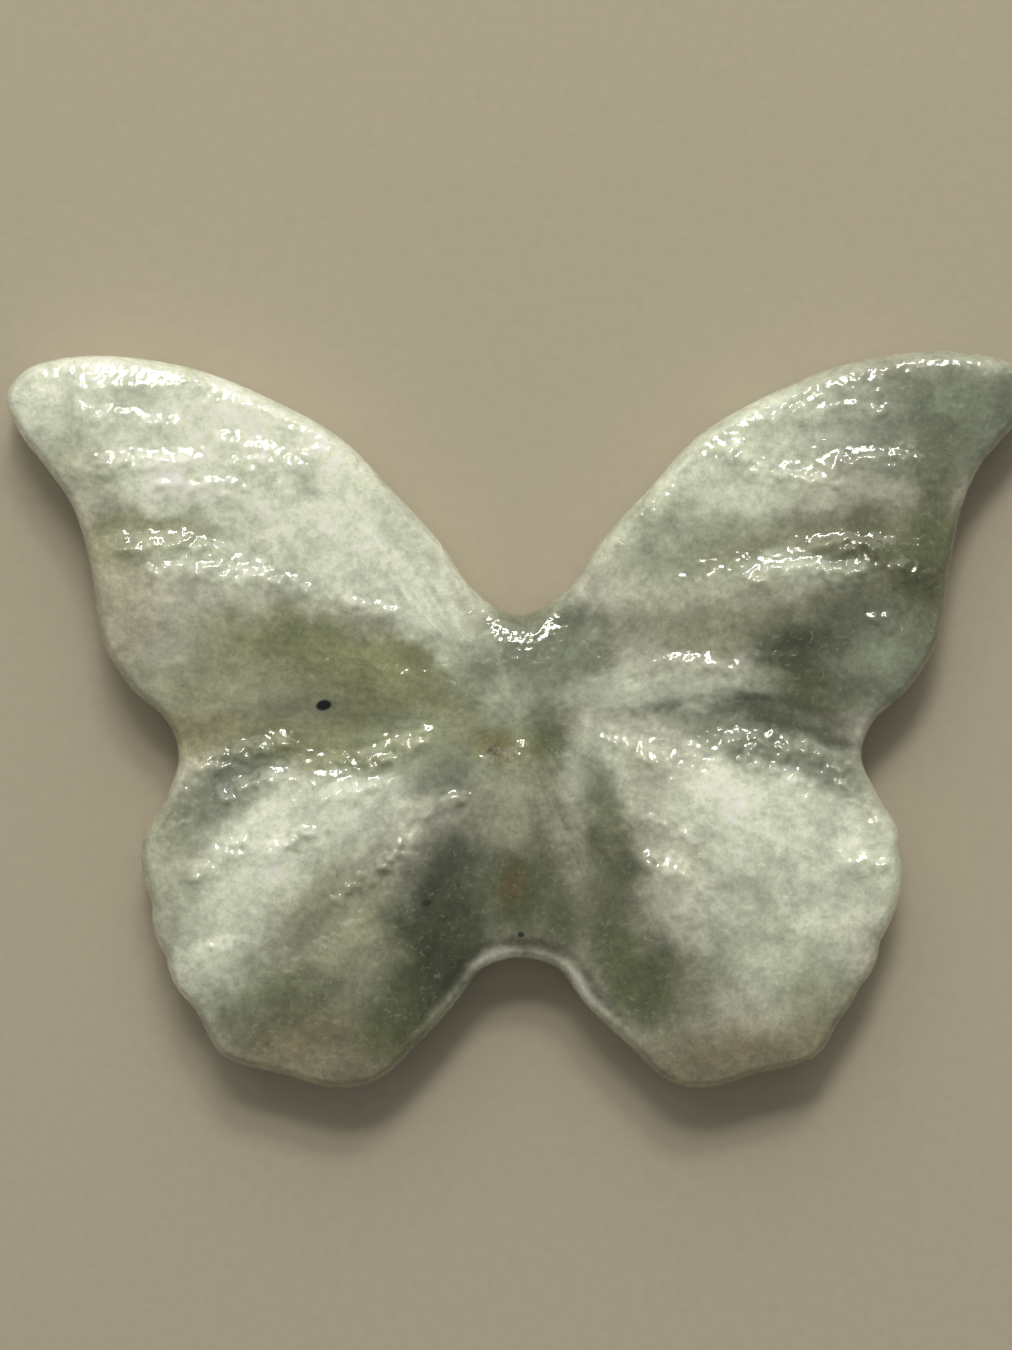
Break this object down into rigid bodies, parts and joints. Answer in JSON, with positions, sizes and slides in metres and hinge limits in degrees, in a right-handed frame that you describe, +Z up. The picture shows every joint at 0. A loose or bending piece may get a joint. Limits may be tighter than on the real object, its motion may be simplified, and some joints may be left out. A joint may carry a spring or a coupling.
{
  "type": "jade butterfly pendant",
  "caption": "Butterfly carved in mottled grey-green jade, with fluted wings over a flat back, worn as a pendant or laid down as an ornament.",
  "frame": {"origin": "middle of the footprint on the flat back, under the body", "axes": "+X across the wings to the right as the carved face is seen, +Y from the tail to the head, +Z up out of the carved face"},
  "size_m": [0.036, 0.0258, 0.0038],
  "materials": {
    "jade": "polished, with a faint orange-peel ripple"
  },
  "bodies": {
    "root": {"butterfly": "jade"}
  },
  "joints": []
}
